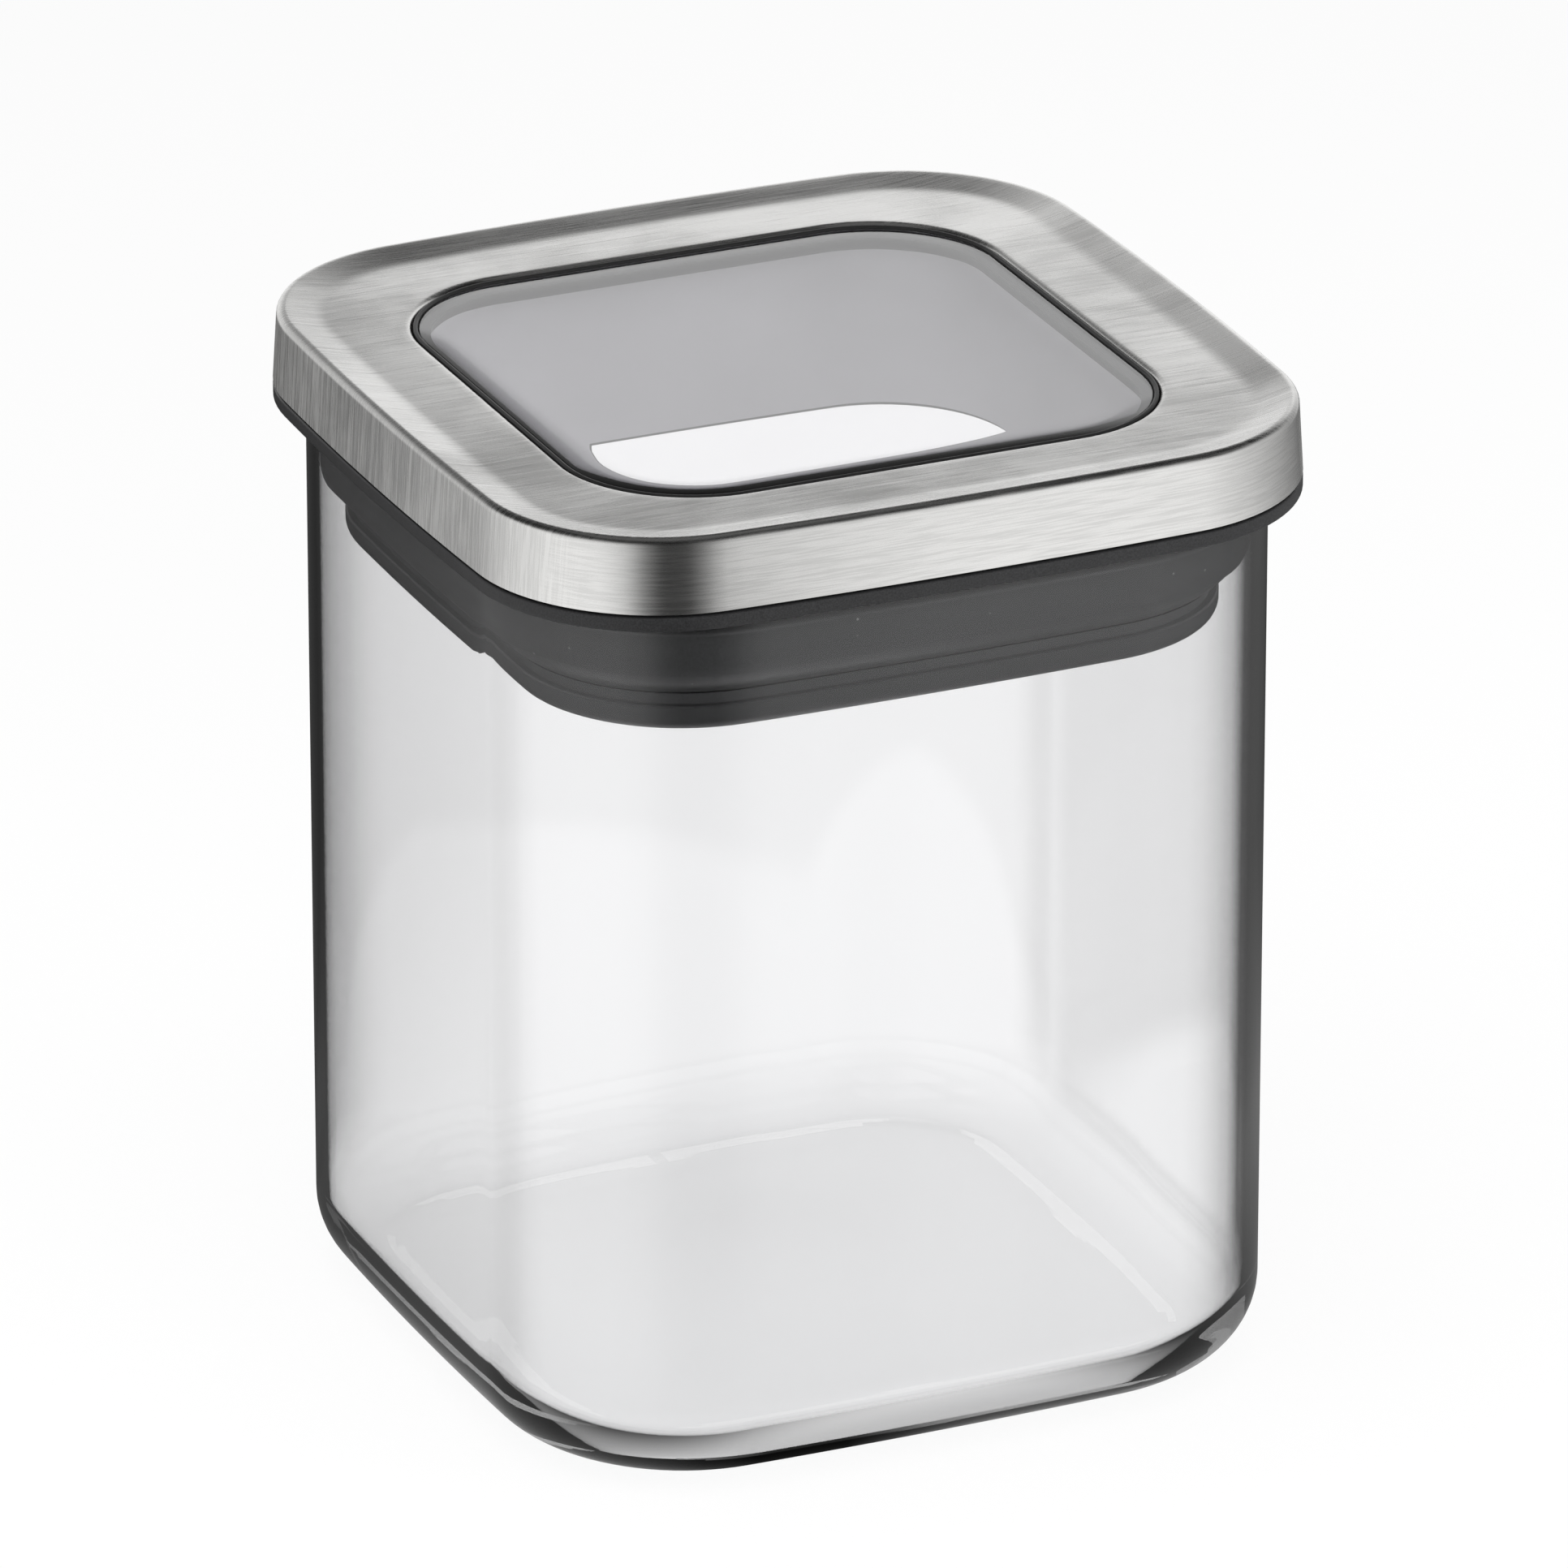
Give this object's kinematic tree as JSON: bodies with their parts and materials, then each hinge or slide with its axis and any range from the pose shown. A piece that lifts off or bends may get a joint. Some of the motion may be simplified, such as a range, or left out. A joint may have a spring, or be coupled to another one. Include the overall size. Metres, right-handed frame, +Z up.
{
  "type": "storage jar",
  "caption": "Square glass storage jar with rounded corners and a push-in lid: brushed steel cover, flat clear window, dark moulded plug and a flared seal.",
  "frame": {"origin": "centre of the jar's footprint, on the surface it stands on", "axes": "+Z up through the lid; the four flat sides face +X, -X, +Y and -Y, and all four are alike"},
  "size_m": [0.105, 0.105, 0.1233],
  "materials": {
    "glass": "clear, fire-polished",
    "steel": "brushed in one direction, satin",
    "black_plastic": "satin black",
    "seal": "dark grey, satin silicone",
    "pane": "clear, faintly smoky, polished",
    "gasket": "black, satin"
  },
  "bodies": {
    "jar_body": {"jar": "glass"},
    "lid": {"lid_cover": "steel", "lid_frame": "black_plastic", "seal_ring": "seal", "window_pane": "pane", "window_gasket": "gasket"}
  },
  "joints": [
    {"name": "lid_lift", "type": "slide", "parent": "jar_body", "child": "lid", "axis": [0, 0, 1], "range_m": [0, 0.15]}
  ]
}
